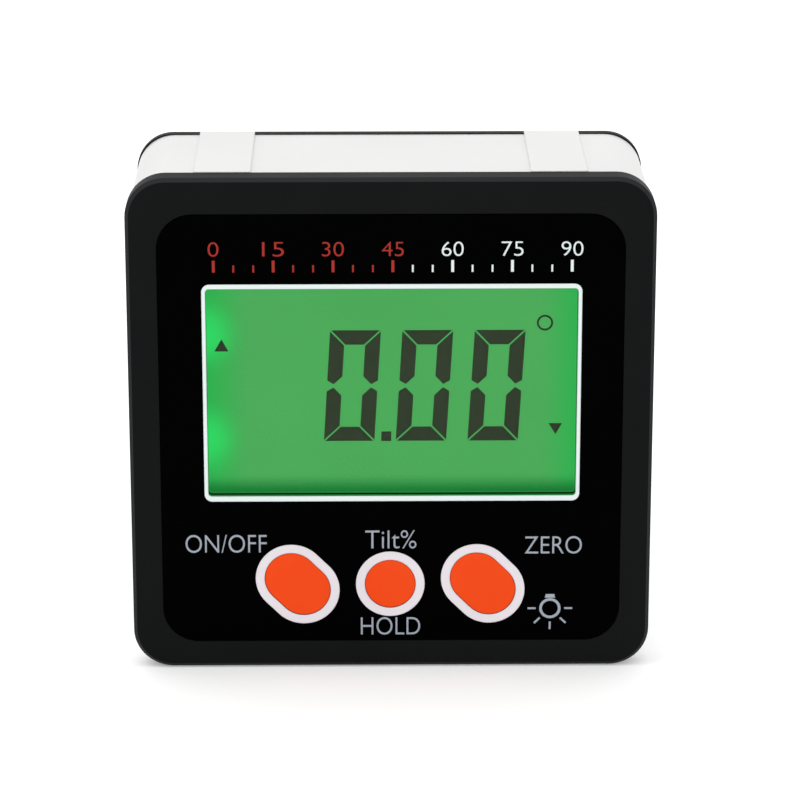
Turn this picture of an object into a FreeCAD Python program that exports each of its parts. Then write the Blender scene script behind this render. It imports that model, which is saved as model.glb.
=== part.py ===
import FreeCAD, Part
import math
import os
import re

import Sketcher
from FreeCAD import Placement, Rotation, Vector

# A square digital inclinometer.
#
# It is a box gauge that reads the angle of whatever it is set against. A black bezel carries a gloss
# panel with the display window and three keys. A metal frame gives the four measuring sides, each
# with two raised pads. A moulded back cover closes it and holds two AAA cells under a screwed door.
#
# The box stands on its two bottom pads at z = 0 and is centred on x = 0 and y = 0. Its face looks
# towards -Y. Inside a sub-part, y is the depth behind the face, and x and z start at the box's centre.

os.makedirs("parts", exist_ok=True)
doc = FreeCAD.newDocument("Inclinometer")
sheet = doc.addObject("Spreadsheet::Sheet", "Sizes")

# Sizes, in millimetres

SIZES = (
    # room round what the case holds, which sets how wide, high and deep it is
    ("compartment_gap", 0.7),
    ("holder_side", 1.6),
    ("top_room", 6.86),
    ("key_field", 12.44),
    ("part_room", 2.9),
    # measuring sides
    ("pad_height", 0.4),
    ("pad_width", 6.4),
    ("pad_spacing", 38.0),
    ("frame_corner", 4.4),
    ("frame_wall", 3.2),
    ("inner_corner", 1.6),
    # front bezel
    ("bezel_inset", 0.1),
    ("bezel_corner", 4.55),
    ("bezel_depth", 2.9),
    ("bezel_chamfer", 0.42),
    ("face_plate", 1.2),
    ("lip_length", 1.5),
    ("lip_thickness", 1.0),
    ("lip_clearance", 0.05),
    # gloss panel and display window
    ("panel_border", 3.675),
    ("panel_end", 3.825),
    ("panel_drop", 0.48),
    ("panel_corner", 4.1),
    ("panel_thickness", 0.5),
    ("panel_sink", 0.1),
    ("panel_clearance", 0.1),
    ("window_width", 42.15),
    ("window_height", 24.7),
    ("window_shift", 0.09),
    ("window_corner", 0.4),
    ("window_flange", 1.2),
    ("window_flange_thickness", 0.6),
    ("window_clearance", 0.05),
    # keys
    ("key_seat", 6.66),
    ("left_key_place", -10.83),
    ("middle_key_place", -0.12),
    ("right_key_place", 10.58),
    ("round_key_radius", 2.92),
    ("long_key_radius", 3.07),
    ("long_key_reach", 0.72),
    ("key_clearance", 0.08),
    ("key_lip", 0.7),
    ("key_lip_thickness", 0.7),
    ("key_lip_clearance", 0.15),
    ("key_rest_gap", 0.05),
    ("key_travel", 0.4),
    ("plunger_radius", 1.6),
    ("plunger_clearance", 0.12),
    ("switch_side", 6.0),
    ("switch_height", 3.5),
    ("stem_radius", 1.7),
    ("stem_clearance", 0.08),
    ("stem_rise", 0.9),
    ("stem_depth", 1.2),
    ("mat_width", 35.2),
    ("mat_gap", 0.29),
    ("mat_end", 1.35),
    ("mat_thickness", 0.8),
    ("mat_collar", 1.2),
    ("mat_clearance", 0.1),
    # seals
    ("gasket_inset", 1.6),
    ("gasket_width", 1.0),
    ("gasket_depth", 0.8),
    ("gasket_clearance", 0.05),
    # display
    ("glass_side", 1.675),
    ("glass_end", 1.4),
    ("glass_thickness", 1.1),
    ("glass_ledge", 2.5),
    ("guide_side", 1.15),
    ("guide_end", 0.3),
    ("guide_thickness", 2.5),
    ("holder_wall", 1.0),
    ("holder_floor", 1.5),
    ("holder_clearance", 0.1),
    ("zebra_side", 1.75),
    ("zebra_thickness", 1.6),
    ("zebra_place", 1.0),
    ("lamp_length", 0.9),
    ("lamp_height", 2.0),
    ("lamp_width", 1.6),
    ("lamp_spacing", 10.8),
    ("lamp_board", 0.5),
    ("lamp_board_height", 17.0),
    ("foot_radius", 1.4),
    ("foot_height", 1.0),
    ("peg_radius", 0.8),
    ("peg_length", 1.4),
    ("peg_clearance", 0.05),
    ("foot_side", 0.15),
    ("foot_end", 3.79),
    ("foot_base", 1.11),
    # main board and what is on its back
    ("board_thickness", 1.2),
    ("board_gap", 0.3),
    ("board_notch", 0.4),
    ("board_post_radius", 2.2),
    ("lower_post_side", 5.9),
    ("lower_post_end", 9.25),
    ("upper_post_spread", 12.0),
    ("upper_post_end", 4.15),
    ("board_screw_radius", 0.9),
    ("board_screw_length", 4.6),
    ("board_screw_head_radius", 1.8),
    ("board_screw_head", 1.0),
    ("sensor_side", 8.6),
    ("sensor_height", 2.0),
    ("sensor_drop", 17.0),
    ("chip_side", 10.0),
    ("chip_height", 1.4),
    ("chip_place", -9.0),
    ("chip_rise", 7.0),
    ("crystal_length", 8.0),
    ("crystal_width", 3.4),
    ("crystal_height", 2.2),
    ("crystal_place", 12.5),
    ("crystal_drop", 17.0),
    ("capacitor_length", 2.0),
    ("capacitor_width", 1.2),
    ("capacitor_height", 0.9),
    ("capacitor_pitch", 3.4),
    ("capacitor_place", 3.0),
    ("capacitor_rise", 8.0),
    # base magnets
    ("magnet_radius", 4.0),
    ("magnet_thickness", 2.4),
    ("magnet_spacing", 16.0),
    ("magnet_clearance", 0.05),
    # back cover
    ("cover_inset", 0.3),
    ("cover_corner", 4.3),
    ("cover_flange", 1.2),
    ("cover_step", 1.6),
    ("cover_tub", 3.6),
    ("cover_wall", 1.6),
    ("cover_chamfer", 0.8),
    ("cover_screw_side", 3.8),
    ("cover_screw_end", 3.75),
    ("cover_screw_radius", 1.25),
    ("cover_screw_length", 12.0),
    ("cover_screw_head_radius", 2.2),
    ("cover_screw_head", 1.6),
    ("screw_clearance", 0.05),
    ("screw_head_clearance", 0.2),
    ("screw_socket_radius", 0.8),
    ("screw_socket_depth", 0.7),
    ("post_radius", 3.0),
    # cells, contacts and door
    ("cell_radius", 5.25),
    ("cell_length", 44.5),
    ("cell_nub_radius", 1.9),
    ("cell_nub_length", 1.0),
    ("cell_gap", 0.4),
    ("cell_room", 0.35),
    ("cell_clearance", 0.2),
    ("compartment_wall", 1.3),
    ("compartment_floor", 1.2),
    ("contact_thickness", 0.4),
    ("contact_side", 1.15),
    ("contact_tab", 2.4),
    ("contact_clearance", 0.1),
    ("bow_reach", 3.5),
    ("bow_foot", 7.2),
    ("bow_top", 2.4),
    ("bow_width", 4.0),
    ("bow_thickness", 0.3),
    ("door_overlap", 1.8),
    ("door_end", 2.3),
    ("door_thickness", 1.8),
    ("door_corner", 2.0),
    ("door_clearance", 0.1),
    ("door_ledge", 1.6),
    ("door_land", 0.9),
    ("door_gasket_width", 0.9),
    ("door_screw_place", 3.65),
    ("door_screw_radius", 1.0),
    ("door_screw_length", 5.6),
    ("door_screw_head_radius", 1.9),
    ("door_screw_head", 1.0),
    ("door_boss_radius", 2.6),
    ("label_width", 30.0),
    ("label_height", 14.0),
    ("label_sink", 0.2),
)

# Places worked out from the sizes, each a depth behind the face unless its name says otherwise

PLACES = {
    "glass_width": "window_width + 2 * glass_side",
    "glass_height": "window_height + 2 * glass_end",
    "holder_rim": "holder_clearance + holder_wall",
    "width_over_cells": "compartment_width + 2 * (compartment_wall + compartment_gap)",
    "width_over_glass": "glass_width + 2 * (holder_rim + holder_side)",
    "inner_width": "max(width_over_cells; width_over_glass)",
    "inner_height": "top_room + glass_height + glass_ledge + 2 * holder_rim + key_field",
    "flat_width": "inner_width + 2 * frame_wall",
    "flat_height": "inner_height + 2 * frame_wall",
    "case_width": "flat_width + 2 * pad_height",
    "case_height": "flat_height + 2 * pad_height",
    "case_depth": "cell_depth + cell_radius + cell_clearance + door_thickness",
    "window_rise": "inner_height / 2 - top_room - holder_rim - glass_height / 2",
    "panel_width": "case_width - 2 * panel_border",
    "panel_height": "case_height - 2 * panel_end",
    "key_drop": "inner_height / 2 - key_seat",
    "mat_top": "holder_bottom - mat_gap",
    "mat_bottom": "mat_end - inner_height / 2",
    "guide_width": "glass_width - 2 * guide_side",
    "guide_height": "glass_height - 2 * guide_end",
    "zebra_width": "glass_width - 2 * zebra_side",
    "foot_spread": "glass_width / 2 + foot_side",
    "foot_high": "window_rise + glass_height / 2 - foot_end",
    "foot_low": "window_rise - glass_height / 2 + foot_base",
    "lower_post_spread": "inner_width / 2 - lower_post_side",
    "lower_post_drop": "inner_height / 2 - lower_post_end",
    "upper_post_rise": "inner_height / 2 - upper_post_end",
    "cover_screw_spread": "inner_width / 2 - cover_screw_side",
    "cover_screw_rise": "inner_height / 2 - cover_screw_end",
    "cell_pitch": "2 * cell_radius + cell_gap",
    "compartment_height": "cell_pitch + 2 * (cell_radius + cell_room)",
    "contact_width": "cell_pitch - 2 * contact_side",
    "door_width": "compartment_width + 2 * door_overlap",
    "door_screw_rise": "compartment_height / 2 + door_screw_place",
    "door_height": "2 * (door_screw_rise + door_end)",
    "lip_width": "inner_width - 2 * lip_clearance",
    "lip_height": "inner_height - 2 * lip_clearance",
    "cavity_width": "lip_width - 2 * lip_thickness",
    "cavity_height": "lip_height - 2 * lip_thickness",
    "panel_rear": "panel_sink + panel_thickness",
    "plate_rear": "panel_rear + face_plate",
    "frame_rear": "case_depth - cover_tub - cover_flange",
    "glass_middle": "plate_rear + glass_thickness",
    "glass_rear": "plate_rear + 2 * glass_thickness",
    "holder_rear": "glass_rear + guide_thickness + holder_floor",
    "board_front": "holder_rear + foot_height",
    "board_rear": "board_front + board_thickness",
    "ledge_edge": "window_rise - glass_height / 2 - glass_ledge",
    "zebra_height": "ledge_edge + zebra_place",
    "holder_top": "window_rise + glass_height / 2 + holder_rim",
    "holder_bottom": "ledge_edge - holder_rim",
    "guide_left": "window_shift - guide_width / 2",
    "lamp_rise": "window_rise - 0.7",
    "lip_front": "panel_rear + key_rest_gap",
    "lip_rear": "lip_front + key_lip_thickness",
    "switch_front": "board_front - switch_height",
    "plunger_rear": "switch_front - stem_rise",
    "boss_front": "frame_rear - lip_length",
    "cover_inside": "case_depth - cover_wall",
    "screw_seat": "case_depth - cover_screw_head - 1.0",
    "door_seat": "case_depth - door_thickness",
    "compartment_front": "board_rear + part_room",
    "cell_depth": "compartment_front + compartment_floor + cell_clearance + cell_radius",
    "compartment_width": "cell_length + bow_reach + 2 * contact_thickness",
    "door_screw_seat": "case_depth - door_screw_head - 0.2",
}


def linked(expression):
    """Write an expression of plain words as one that refers to the sheet's cells."""
    def cell(match):
        word = match.group(0)
        if word in PLACES:
            return "(" + linked(PLACES[word]) + ")"
        return "Sizes." + word if word in size_names else word
    return re.sub("[a-z_]+", cell, str(expression))


def value(expression):
    """The number that an expression stands for."""
    return float(sheet.evalExpression(linked(expression)))


for row, (name, number) in enumerate(SIZES, 1):
    sheet.set(f"A{row}", name)
    sheet.set(f"B{row}", str(number))
    sheet.setAlias(f"B{row}", name)
size_names = {name for name, number in SIZES}
doc.recompute()

sub_parts = []


def sub_part(piece, name):
    """Name a finished piece and keep it for the check and the files."""
    piece.Label = name
    sub_parts.append(piece)
    return piece


def place(piece, across="0", depth="0", rise="0"):
    """Tie a piece's place to the sizes, from the box's centre line and its face."""
    piece.setExpression("Placement.Base.x", linked(across))
    piece.setExpression("Placement.Base.y", linked(f"({depth}) - case_depth / 2"))
    piece.setExpression("Placement.Base.z", linked(f"({rise}) + case_height / 2"))


# Sketches, each seen from the front: across is x and up is z

def new_body(name, across="0", depth="0", rise="0"):
    body = doc.addObject("PartDesign::Body", name)
    place(body, across, depth, rise)
    return sub_part(body, name)


def new_sketch(body, depth="0", plane="XZ_Plane"):
    """A sketch at a depth behind the face or, on the flat plane, at a height."""
    sketch = body.newObject("Sketcher::SketchObject", "Outline")
    planes = [feature for feature in body.Origin.OriginFeatures if feature.Role == plane]
    sketch.AttachmentSupport = [(planes[0], "")]
    sketch.MapMode = "FlatFace"
    sign = "-" if plane == "XZ_Plane" else ""
    sketch.setExpression("AttachmentOffset.Base.z", linked(f"{sign}({depth})"))
    return sketch


def dimension(sketch, expression, kind, *places):
    """A constraint whose number follows an expression."""
    index = sketch.addConstraint(Sketcher.Constraint(kind, *places, value(expression)))
    sketch.setExpression(f"Constraints[{index}]", linked(expression))


def fix_point(sketch, geometry, end, across, up):
    """Hold a point at its place from the sketch's origin."""
    for kind, expression in (("DistanceX", across), ("DistanceY", up)):
        dimension(sketch, expression, kind, -1, 1, geometry, end)


def draw_circle(sketch, across, up, radius):
    centre = Vector(value(across), value(up), 0)
    circle = sketch.addGeometry(Part.Circle(centre, Vector(0, 0, 1), value(radius)))
    fix_point(sketch, circle, 3, across, up)
    dimension(sketch, radius, "Radius", circle)


def draw_polygon(sketch, corners):
    """Straight sides through corners, each corner at its own place."""
    points = [Vector(value(across), value(up), 0) for across, up in corners]
    ends = points[1:] + points[:1]
    sides = [sketch.addGeometry(Part.LineSegment(start, end)) for start, end in zip(points, ends)]
    for number, side in enumerate(sides):
        sketch.addConstraint(Sketcher.Constraint("Coincident", sides[number - 1], 2, side, 1))
        fix_point(sketch, side, 1, *corners[number])


def draw_rectangle(sketch, width, height, across="0", up="0"):
    left, right = f"{across} - ({width}) / 2", f"{across} + ({width}) / 2"
    low, high = f"{up} - ({height}) / 2", f"{up} + ({height}) / 2"
    draw_polygon(sketch, ((left, low), (right, low), (right, high), (left, high)))


def draw_rounded(sketch, width, height, radius, across="0", up="0"):
    """A rectangle with rounded corners: four arcs held at their centres and four tangent sides."""
    reach_x = f"(({width}) / 2 - ({radius}))"
    reach_z = f"(({height}) / 2 - ({radius}))"
    centres = []
    for sign_x, sign_z in (("+", "-"), ("+", "+"), ("-", "+"), ("-", "-")):
        centres.append((f"{across} {sign_x} {reach_x}", f"{up} {sign_z} {reach_z}"))
    draw_tangent_loop(sketch, radius, centres, -90)


def draw_tangent_loop(sketch, radius, centres, start_angle):
    """Equal arcs about centres, in turn order, joined by tangent sides."""
    turn = 360 / len(centres)
    arcs = []
    for number, (across, up) in enumerate(centres):
        centre = Vector(value(across), value(up), 0)
        circle = Part.Circle(centre, Vector(0, 0, 1), value(radius))
        start = math.radians(start_angle + number * turn)
        arc = sketch.addGeometry(Part.ArcOfCircle(circle, start, start + math.radians(turn)))
        arcs.append(arc)
        fix_point(sketch, arc, 3, across, up)
    dimension(sketch, radius, "Radius", arcs[0])
    for number, arc in enumerate(arcs):
        after = arcs[(number + 1) % len(arcs)]
        start = sketch.getPoint(arc, 2)
        end = sketch.getPoint(after, 1)
        side = sketch.addGeometry(Part.LineSegment(start, end))
        sketch.addConstraint(Sketcher.Constraint("Tangent", arc, 2, side, 1))
        sketch.addConstraint(Sketcher.Constraint("Tangent", side, 2, after, 1))
        if number:
            sketch.addConstraint(Sketcher.Constraint("Equal", arcs[0], arc))


def draw_key(sketch, key, margin="0"):
    """A key's outline, grown by a margin: a circle, or a long round shape slanting down to the right."""
    across, is_long = key["across"], key["long"]
    if not is_long:
        draw_circle(sketch, across, "-key_drop", f"round_key_radius + {margin}")
        return
    lower = (f"{across} + long_key_reach", "-key_drop - long_key_reach")
    upper = (f"{across} - long_key_reach", "-key_drop + long_key_reach")
    draw_tangent_loop(sketch, f"long_key_radius + {margin}", (lower, upper), -135)


def draw_hexagon(sketch, across, up, radius):
    """A regular hexagon with two corners level with its middle."""
    corners = []
    for corner in range(6):
        angle = 60 * corner
        corners.append((f"{across} + ({radius}) * cos({angle})", f"{up} + ({radius}) * sin({angle})"))
    draw_polygon(sketch, corners)


def draw_four(sketch, spread, rise, radius, draw_shape=draw_circle):
    """Four equal shapes, one in each quarter."""
    for across in (spread, f"-({spread})"):
        for up in (rise, f"-({rise})"):
            draw_shape(sketch, across, up, radius)


def draw_board_holes(sketch, radius, draw_shape=draw_circle):
    """The four places where the main board is screwed down."""
    for sign in ("", "-"):
        draw_shape(sketch, f"{sign}lower_post_spread", "-lower_post_drop", radius)
        draw_shape(sketch, f"{sign}upper_post_spread", "upper_post_rise", radius)


# Features: both run backwards from the sketch, away from the viewer, unless told to run upwards

def pad(body, sketch, length):
    feature = body.newObject("PartDesign::Pad", "Pad")
    feature.Profile = sketch
    feature.Reversed = True
    feature.setExpression("Length", linked(length))
    sketch.Visibility = False
    doc.recompute()
    return feature


def pocket(body, sketch, length, upwards=False):
    before = body.Shape.Volume
    feature = body.newObject("PartDesign::Pocket", "Pocket")
    feature.Profile = sketch
    feature.Reversed = upwards
    feature.setExpression("Length", linked(length))
    doc.recompute()
    if feature.Shape.Volume > before - 1e-4:
        raise ValueError(f"a cut in {body.Label} removes nothing")
    return feature


def outline_edges(feature, depth):
    """The names of a feature's edges that lie flat at a depth, on its outer outline."""
    names = []
    box = feature.Shape.BoundBox
    for number, edge in enumerate(feature.Shape.Edges, 1):
        limits = edge.BoundBox
        flat = abs(limits.YMin - depth) < 1e-4 and abs(limits.YMax - depth) < 1e-4
        middle = edge.CenterOfMass
        outer = abs(middle.x) > box.XMax * 0.6 or abs(middle.z) > box.ZMax * 0.6
        if flat and outer:
            names.append(f"Edge{number}")
    return names


def dress(body, kind, size_name, expression, depth):
    """Round or chamfer the outer outline of the body's last feature at a depth."""
    last = body.Tip
    feature = body.newObject(f"PartDesign::{kind}", kind)
    feature.Base = (last, outline_edges(last, value(depth)))
    feature.setExpression(size_name, linked(expression))
    doc.recompute()
    return feature


def box(name, width, height, front, rear, across="0", up="0"):
    """A block given by its middle and by its front and rear depths."""
    block = doc.addObject("Part::Box", name)
    block.setExpression("Length", linked(width))
    block.setExpression("Width", linked(f"({rear}) - ({front})"))
    block.setExpression("Height", linked(height))
    place(block, f"{across} - ({width}) / 2", front, f"{up} - ({height}) / 2")
    return block


def rod(name, radius, front, rear, across="0", up="0"):
    """A cylinder that runs straight back from a front depth to a rear one."""
    cylinder = doc.addObject("Part::Cylinder", name)
    cylinder.setExpression("Radius", linked(radius))
    cylinder.setExpression("Height", linked(f"({rear}) - ({front})"))
    cylinder.Placement = Placement(Vector(), Rotation(Vector(1, 0, 0), -90))
    place(cylinder, across, front, up)
    return cylinder


def joined(name, pieces):
    union = doc.addObject("Part::MultiFuse", name)
    union.Shapes = pieces
    union.Refine = True
    return sub_part(union, name)


KEYS = (
    {"name": "on_off", "across": "left_key_place", "long": True},
    {"name": "hold", "across": "middle_key_place", "long": False},
    {"name": "zero", "across": "right_key_place", "long": True},
)


# Front bezel: a moulded black frame whose posts carry the main board and take the case screws

bezel = new_body("front_bezel")
outline = new_sketch(bezel)
bezel_width = "case_width - 2 * bezel_inset"
bezel_height = "case_height - 2 * bezel_inset"
draw_rounded(outline, bezel_width, bezel_height, "bezel_corner")
pad(bezel, outline, "bezel_depth")
dress(bezel, "Chamfer", "Size", "bezel_chamfer", "0")
lip = new_sketch(bezel, "bezel_depth")
draw_rounded(lip, "lip_width", "lip_height", "inner_corner")
pad(bezel, lip, "lip_length")
cavity = new_sketch(bezel, "plate_rear")
draw_rounded(cavity, "cavity_width", "cavity_height", "inner_corner")
pocket(bezel, cavity, "bezel_depth + lip_length - (plate_rear)")
posts = new_sketch(bezel, "plate_rear")
draw_four(posts, "cover_screw_spread", "cover_screw_rise", "post_radius")
pad(bezel, posts, "boss_front - (plate_rear)")
board_posts = new_sketch(bezel, "plate_rear")
draw_board_holes(board_posts, "board_post_radius")
pad(bezel, board_posts, "board_front - (plate_rear)")
seat = new_sketch(bezel)
seat_grow = "2 * panel_clearance"
draw_rounded(seat, f"panel_width + {seat_grow}", f"panel_height + {seat_grow}", "panel_corner", "0", "-panel_drop")
pocket(bezel, seat, "panel_rear")
flange_seat = new_sketch(bezel, "panel_rear")
flange_grow = "2 * window_flange + 2 * window_clearance"
draw_rectangle(flange_seat, f"window_width + {flange_grow}", f"window_height + {flange_grow}",
               "window_shift", "window_rise")
pocket(bezel, flange_seat, "window_flange_thickness")
view = new_sketch(bezel, "panel_rear")
draw_rounded(view, "window_width", "window_height", "window_corner", "window_shift", "window_rise")
pocket(bezel, view, "face_plate")
for key in KEYS:
    key_hole = new_sketch(bezel, "panel_rear")
    draw_key(key_hole, key, "key_lip + key_lip_clearance")
    pocket(bezel, key_hole, "face_plate")
case_bores = new_sketch(bezel, "screw_seat - cover_screw_length - 0.5")
draw_four(case_bores, "cover_screw_spread", "cover_screw_rise", "cover_screw_radius + screw_clearance")
pocket(bezel, case_bores, "boss_front - (screw_seat - cover_screw_length - 0.5)")
board_bores = new_sketch(bezel, "board_rear - board_screw_length - 0.5")
draw_board_holes(board_bores, "board_screw_radius + screw_clearance")
pocket(bezel, board_bores, "board_screw_length + 0.5")


def draw_seal(sketch, margin="0"):
    """The closed band of a case seal, a set distance in from the metal frame's flats."""
    for sign in ("+", "-"):
        grow = f"- 2 * gasket_inset {sign} (gasket_width + 2 * ({margin}))"
        radius = f"frame_corner - gasket_inset {sign} (gasket_width / 2 + {margin})"
        draw_rounded(sketch, f"flat_width {grow}", f"flat_height {grow}", radius)


front_groove = new_sketch(bezel, "bezel_depth - gasket_depth")
draw_seal(front_groove, "gasket_clearance")
pocket(bezel, front_groove, "gasket_depth")

# Seals between the bezel, the frame and the back cover

for seal_name, seal_front in (("front_gasket", "bezel_depth - gasket_depth"),
                              ("back_gasket", "frame_rear - gasket_depth")):
    seal = new_body(seal_name)
    band = new_sketch(seal, seal_front)
    draw_seal(band)
    pad(seal, band, "gasket_depth")

# Gloss panel: one stiff printed sheet, cut out for the window and the keys

panel = new_body("face_panel")
sheet_outline = new_sketch(panel, "panel_sink")
draw_rounded(sheet_outline, "panel_width", "panel_height", "panel_corner", "0", "-panel_drop")
window_grow = "2 * window_clearance"
draw_rounded(sheet_outline, f"window_width + {window_grow}", f"window_height + {window_grow}",
             "window_corner", "window_shift", "window_rise")
for key in KEYS:
    draw_key(sheet_outline, key, "key_clearance")
pad(panel, sheet_outline, "panel_thickness")

# Display window: clear, with a flange that the gloss panel traps against the bezel

window = new_body("display_window")
flange = new_sketch(window, "panel_rear")
draw_rectangle(flange, "window_width + 2 * window_flange", "window_height + 2 * window_flange",
               "window_shift", "window_rise")
pad(window, flange, "window_flange_thickness")
raised = new_sketch(window, "panel_sink")
draw_rounded(raised, "window_width", "window_height", "window_corner", "window_shift", "window_rise")
pad(window, raised, "panel_thickness")

# Keys: a cap whose lip stays behind the panel, a plunger through the sealing mat and a switch stem

for key in KEYS:
    name = key["name"]
    cap = new_body(f"{name}_key_cap")
    lip_outline = new_sketch(cap, "lip_front")
    draw_key(lip_outline, key, "key_lip")
    pad(cap, lip_outline, "key_lip_thickness")
    top = new_sketch(cap, "panel_sink")
    draw_key(top, key)
    pad(cap, top, "lip_front - panel_sink")
    plunger = rod(f"{name}_key_plunger", "plunger_radius", "lip_rear", "plunger_rear", key["across"], "-key_drop")
    sub_part(plunger, f"{name}_key_plunger")
    stem = rod(f"{name}_switch_stem", "stem_radius", "plunger_rear", "switch_front + stem_depth",
               key["across"], "-key_drop")
    sub_part(stem, f"{name}_switch_stem")
    switch = new_body(f"{name}_switch")
    square = new_sketch(switch, "switch_front")
    draw_rectangle(square, "switch_side", "switch_side", key["across"], "-key_drop")
    pad(switch, square, "switch_height")
    bore = new_sketch(switch, "switch_front")
    draw_circle(bore, key["across"], "-key_drop", "stem_radius + stem_clearance")
    pocket(switch, bore, "stem_depth + key_travel + 0.2")

mat = new_body("keypad_mat")
mat_sheet = new_sketch(mat, "plate_rear")
mat_middle = "(mat_top + mat_bottom) / 2"
draw_rectangle(mat_sheet, "mat_width", "mat_top - mat_bottom", "0", mat_middle)
pad(mat, mat_sheet, "mat_thickness")
for collar_radius, cut in (("plunger_radius + plunger_clearance + mat_collar", False),
                           ("plunger_radius + plunger_clearance", True)):
    collars = new_sketch(mat, "plate_rear")
    for key in KEYS:
        draw_circle(collars, key["across"], "-key_drop", collar_radius)
    (pocket if cut else pad)(mat, collars, "switch_front - mat_clearance - (plate_rear)")

# Metal frame: one ring with two raised pads along each measuring side and magnets in its base

frame = new_body("metal_frame")
flats = new_sketch(frame, "bezel_depth")
draw_rounded(flats, "flat_width", "flat_height", "frame_corner")
pad(frame, flats, "frame_rear - bezel_depth")
for upright in (True, False):
    pads = new_sketch(frame, "bezel_depth")
    for sign in ("-", ""):
        middle = f"{sign}pad_spacing / 2"
        if upright:
            draw_rectangle(pads, "pad_width", "case_height", middle, "0")
        else:
            draw_rectangle(pads, "case_width", "pad_width", "0", middle)
    pad(frame, pads, "frame_rear - bezel_depth")
inside = new_sketch(frame, "bezel_depth")
draw_rounded(inside, "inner_width", "inner_height", "inner_corner")
pocket(frame, inside, "frame_rear - bezel_depth")
back_groove = new_sketch(frame, "frame_rear - gasket_depth")
draw_seal(back_groove, "gasket_clearance")
pocket(frame, back_groove, "gasket_depth")
magnet_depth = "(bezel_depth + frame_rear) / 2"
magnet_holes = new_sketch(frame, "-flat_height / 2", "XY_Plane")
for sign in ("-", ""):
    draw_circle(magnet_holes, f"{sign}magnet_spacing / 2", magnet_depth, "magnet_radius + magnet_clearance")
pocket(frame, magnet_holes, "magnet_thickness", upwards=True)
for side, sign in (("left", "-"), ("right", "")):
    magnet = doc.addObject("Part::Cylinder", "Magnet")
    magnet.setExpression("Radius", linked("magnet_radius"))
    magnet.setExpression("Height", linked("magnet_thickness"))
    place(magnet, f"{sign}magnet_spacing / 2", magnet_depth, "-flat_height / 2")
    sub_part(magnet, f"base_magnet_{side}")

# Back cover: a moulded tub with the battery compartment, its door seat and the screw bosses

cover = new_body("back_cover")
tub_width = "case_width - 2 * cover_inset - 2 * cover_step"
tub_height = "case_height - 2 * cover_inset - 2 * cover_step"
cover_plate = new_sketch(cover, "frame_rear")
draw_rounded(cover_plate, "case_width - 2 * cover_inset", "case_height - 2 * cover_inset", "cover_corner")
pad(cover, cover_plate, "cover_flange")
tub = new_sketch(cover, "frame_rear + cover_flange")
draw_rounded(tub, tub_width, tub_height, "cover_corner - cover_step / 2")
pad(cover, tub, "cover_tub")
dress(cover, "Chamfer", "Size", "cover_chamfer", "case_depth")
cover_lip = new_sketch(cover, "boss_front")
draw_rounded(cover_lip, "lip_width", "lip_height", "inner_corner")
pad(cover, cover_lip, "lip_length")
hollow = new_sketch(cover, "boss_front")
draw_rounded(hollow, "cavity_width", "cavity_height", "inner_corner")
pocket(cover, hollow, "cover_inside - (boss_front)")
block = new_sketch(cover, "compartment_front")
draw_rectangle(block, "compartment_width + 2 * compartment_wall", "compartment_height + 2 * compartment_wall")
pad(cover, block, "cover_inside - (compartment_front)")
ledge = new_sketch(cover, "door_seat - door_ledge")
draw_rectangle(ledge, "cavity_width", "door_height + 2 * door_ledge")
pad(cover, ledge, "cover_inside - (door_seat - door_ledge)")
bosses = new_sketch(cover, "boss_front")
draw_four(bosses, "cover_screw_spread", "cover_screw_rise", "post_radius")
pad(cover, bosses, "cover_inside - (boss_front)")
door_bosses = new_sketch(cover, "boss_front")
for sign in ("-", ""):
    draw_circle(door_bosses, "0", f"{sign}door_screw_rise", "door_boss_radius")
pad(cover, door_bosses, "cover_inside - (boss_front)")
room = new_sketch(cover, "compartment_front + compartment_floor")
draw_rectangle(room, "compartment_width", "compartment_height")
pocket(cover, room, "case_depth")
door_seat = new_sketch(cover, "door_seat")
door_grow = "2 * door_clearance"
draw_rounded(door_seat, f"door_width + {door_grow}", f"door_height + {door_grow}", "door_corner")
pocket(cover, door_seat, "door_thickness")
head_holes = new_sketch(cover, "screw_seat")
draw_four(head_holes, "cover_screw_spread", "cover_screw_rise", "cover_screw_head_radius + screw_head_clearance")
pocket(cover, head_holes, "case_depth - (screw_seat)")
cover_bores = new_sketch(cover, "boss_front")
draw_four(cover_bores, "cover_screw_spread", "cover_screw_rise", "cover_screw_radius + screw_clearance")
pocket(cover, cover_bores, "case_depth")
door_bores = new_sketch(cover, "door_screw_seat - door_screw_length - 0.3")
for sign in ("-", ""):
    draw_circle(door_bores, "0", f"{sign}door_screw_rise", "door_screw_radius + screw_clearance")
pocket(cover, door_bores, "case_depth")
contact_place = "-(compartment_width - contact_thickness) / 2"


def draw_tab_slots(sketch):
    """Slots for the tabs of the two contacts at the left end of the compartment."""
    for sign in ("", "-"):
        draw_rectangle(sketch, "contact_thickness + 2 * contact_clearance", "contact_tab + 2 * contact_clearance",
                       contact_place, f"{sign}cell_pitch / 2")


tab_slots = new_sketch(cover, "compartment_front")
draw_tab_slots(tab_slots)
pocket(cover, tab_slots, "compartment_floor")

# Battery door: flush with the back, sealed, held by two screws that stay in it

door = new_body("battery_door")
door_sheet = new_sketch(door, "door_seat")
draw_rounded(door_sheet, "door_width", "door_height", "door_corner")
pad(door, door_sheet, "door_thickness")
label_seat = new_sketch(door, "case_depth - label_sink")
draw_rounded(label_seat, "label_width", "label_height", "door_land")
pocket(door, label_seat, "label_sink")


def draw_door_seal(sketch, margin="0"):
    """The band round the compartment's mouth."""
    for sign in ("+", "-"):
        grow = f"+ 2 * door_land {sign} (door_gasket_width + 2 * ({margin}))"
        radius = f"door_land {sign} (door_gasket_width / 2 + {margin}) + door_corner / 4"
        draw_rounded(sketch, f"compartment_width {grow}", f"compartment_height {grow}", radius)


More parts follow.
